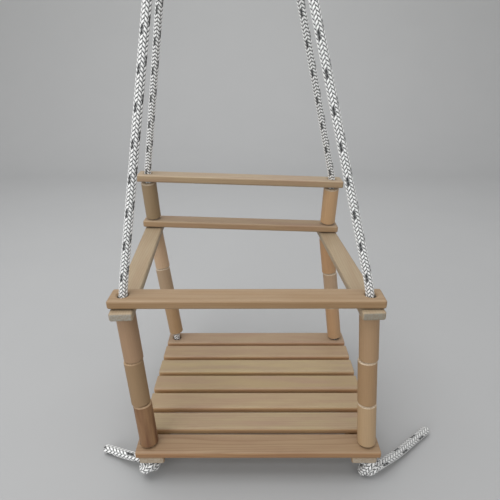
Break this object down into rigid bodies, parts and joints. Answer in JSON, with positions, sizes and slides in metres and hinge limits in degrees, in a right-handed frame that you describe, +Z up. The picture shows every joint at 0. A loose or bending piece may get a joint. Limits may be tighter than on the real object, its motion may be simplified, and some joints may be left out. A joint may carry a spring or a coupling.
{
  "type": "toddler swing seat",
  "caption": "Slatted wooden toddler swing: a slat seat inside a frame of bars and turned tubes, all strung on two braided ropes that hang from one steel ring.",
  "frame": {"origin": "where the user's hook bears, inside the top of the hanging ring", "axes": "+Z up, the seated child faces -Y, and +X is to the right of someone looking at the swing from the front"},
  "size_m": [0.5332, 0.3743, 1.1],
  "materials": {
    "pine_slats": "planed and sanded, unfinished",
    "pine_bars": "planed and sanded, unfinished",
    "turned_tubes": "turned and sanded, unfinished",
    "braided_rope": "solid braided polyester with a dark tracer",
    "zinc_ring": "zinc plated, welded",
    "zinc_screws": "zinc plated"
  },
  "bodies": {
    "ring": {"hanging_ring": "zinc_ring"},
    "swing": {"slat_1": "pine_slats", "slat_2": "pine_slats", "slat_3": "pine_slats", "slat_4": "pine_slats", "slat_5": "pine_slats", "slat_6": "pine_slats", "slat_7": "pine_slats", "left_rail": "pine_slats", "right_rail": "pine_slats", "left_side_bar": "pine_bars", "right_side_bar": "pine_bars", "lower_back_bar": "pine_bars", "upper_back_bar": "pine_bars", "slat_screws": "zinc_screws", "front_left_leg_rope": "braided_rope", "front_left_strand": "braided_rope", "front_left_knot": "braided_rope", "front_left_tail": "braided_rope", "front_right_leg_rope": "braided_rope", "front_right_strand": "braided_rope", "front_right_knot": "braided_rope", "front_right_tail": "braided_rope", "rear_left_leg_rope": "braided_rope", "rear_left_strand": "braided_rope", "rear_left_knot": "braided_rope", "rear_left_tail": "braided_rope", "rear_right_leg_rope": "braided_rope", "rear_right_strand": "braided_rope", "rear_right_knot": "braided_rope", "rear_right_tail": "braided_rope", "left_bight": "braided_rope", "right_bight": "braided_rope"},
    "front_bar": {"front_bar": "pine_bars"},
    "front_left_bead_1": {"front_left_bead_1": "turned_tubes"},
    "front_left_bead_2": {"front_left_bead_2": "turned_tubes"},
    "front_left_bead_3": {"front_left_bead_3": "turned_tubes"},
    "front_right_bead_1": {"front_right_bead_1": "turned_tubes"},
    "front_right_bead_2": {"front_right_bead_2": "turned_tubes"},
    "front_right_bead_3": {"front_right_bead_3": "turned_tubes"},
    "rear_left_bead_1": {"rear_left_bead_1": "turned_tubes"},
    "rear_left_bead_2": {"rear_left_bead_2": "turned_tubes"},
    "rear_left_bead_3": {"rear_left_bead_3": "turned_tubes"},
    "rear_right_bead_1": {"rear_right_bead_1": "turned_tubes"},
    "rear_right_bead_2": {"rear_right_bead_2": "turned_tubes"},
    "rear_right_bead_3": {"rear_right_bead_3": "turned_tubes"},
    "left_post_bead": {"left_post_bead": "turned_tubes"},
    "right_post_bead": {"right_post_bead": "turned_tubes"}
  },
  "joints": [
    {"name": "swing_pivot", "type": "hinge", "parent": "ring", "child": "swing", "pos_m": [0, 0, -0.04], "axis": [1, 0, 0], "range_deg": [-40, 40]},
    {"name": "front_bar_slide", "type": "slide", "parent": "swing", "child": "front_bar", "axis": [-0.0705, 0.0752, 0.9947], "range_m": [0, 0.12], "deforming": ["front_left_strand", "front_right_strand"]},
    {"name": "front_left_bead_1_spin", "type": "hinge", "parent": "swing", "child": "front_left_bead_1", "pos_m": [-0.10887, -0.14425, -0.99368], "axis": [-0.0705, 0.0752, 0.9947], "continuous": true},
    {"name": "front_left_bead_2_spin", "type": "hinge", "parent": "swing", "child": "front_left_bead_2", "pos_m": [-0.1152, -0.139, -0.92415], "axis": [-0.0705, 0.0752, 0.9947], "continuous": true},
    {"name": "front_left_bead_3_spin", "type": "hinge", "parent": "swing", "child": "front_left_bead_3", "pos_m": [-0.11913, -0.13375, -0.85463], "axis": [-0.0705, 0.0752, 0.9947], "continuous": true},
    {"name": "front_right_bead_1_spin", "type": "hinge", "parent": "swing", "child": "front_right_bead_1", "pos_m": [0.20603, -0.14425, -0.99368], "axis": [-0.0705, 0.0752, 0.9947], "continuous": true},
    {"name": "front_right_bead_2_spin", "type": "hinge", "parent": "swing", "child": "front_right_bead_2", "pos_m": [0.2009, -0.139, -0.92415], "axis": [-0.0705, 0.0752, 0.9947], "continuous": true},
    {"name": "front_right_bead_3_spin", "type": "hinge", "parent": "swing", "child": "front_right_bead_3", "pos_m": [0.19737, -0.13375, -0.85463], "axis": [-0.0705, 0.0752, 0.9947], "continuous": true},
    {"name": "rear_left_bead_1_spin", "type": "hinge", "parent": "swing", "child": "rear_left_bead_1", "pos_m": [-0.11238, 0.12042, -0.98243], "axis": [-0.1244, 0.0711, 0.9897], "continuous": true},
    {"name": "rear_left_bead_2_spin", "type": "hinge", "parent": "swing", "child": "rear_left_bead_2", "pos_m": [-0.12218, 0.12539, -0.91326], "axis": [-0.1244, 0.0711, 0.9897], "continuous": true},
    {"name": "rear_left_bead_3_spin", "type": "hinge", "parent": "swing", "child": "rear_left_bead_3", "pos_m": [-0.12998, 0.13036, -0.84408], "axis": [-0.1244, 0.0711, 0.9897], "continuous": true},
    {"name": "rear_right_bead_1_spin", "type": "hinge", "parent": "swing", "child": "rear_right_bead_1", "pos_m": [0.20364, 0.11978, -0.99324], "axis": [-0.1308, 0.0747, 0.9886], "continuous": true},
    {"name": "rear_right_bead_2_spin", "type": "hinge", "parent": "swing", "child": "rear_right_bead_2", "pos_m": [0.1956, 0.125, -0.92414], "axis": [-0.1308, 0.0747, 0.9886], "continuous": true},
    {"name": "rear_right_bead_3_spin", "type": "hinge", "parent": "swing", "child": "rear_right_bead_3", "pos_m": [0.18556, 0.13022, -0.85504], "axis": [-0.1308, 0.0747, 0.9886], "continuous": true},
    {"name": "left_post_bead_spin", "type": "hinge", "parent": "swing", "child": "left_post_bead", "pos_m": [-0.135, 0.1255, -0.74447], "axis": [0, -0.1976, 0.9803], "continuous": true},
    {"name": "right_post_bead_spin", "type": "hinge", "parent": "swing", "child": "right_post_bead", "pos_m": [0.181, 0.1255, -0.75547], "axis": [0, -0.1976, 0.9803], "continuous": true}
  ]
}
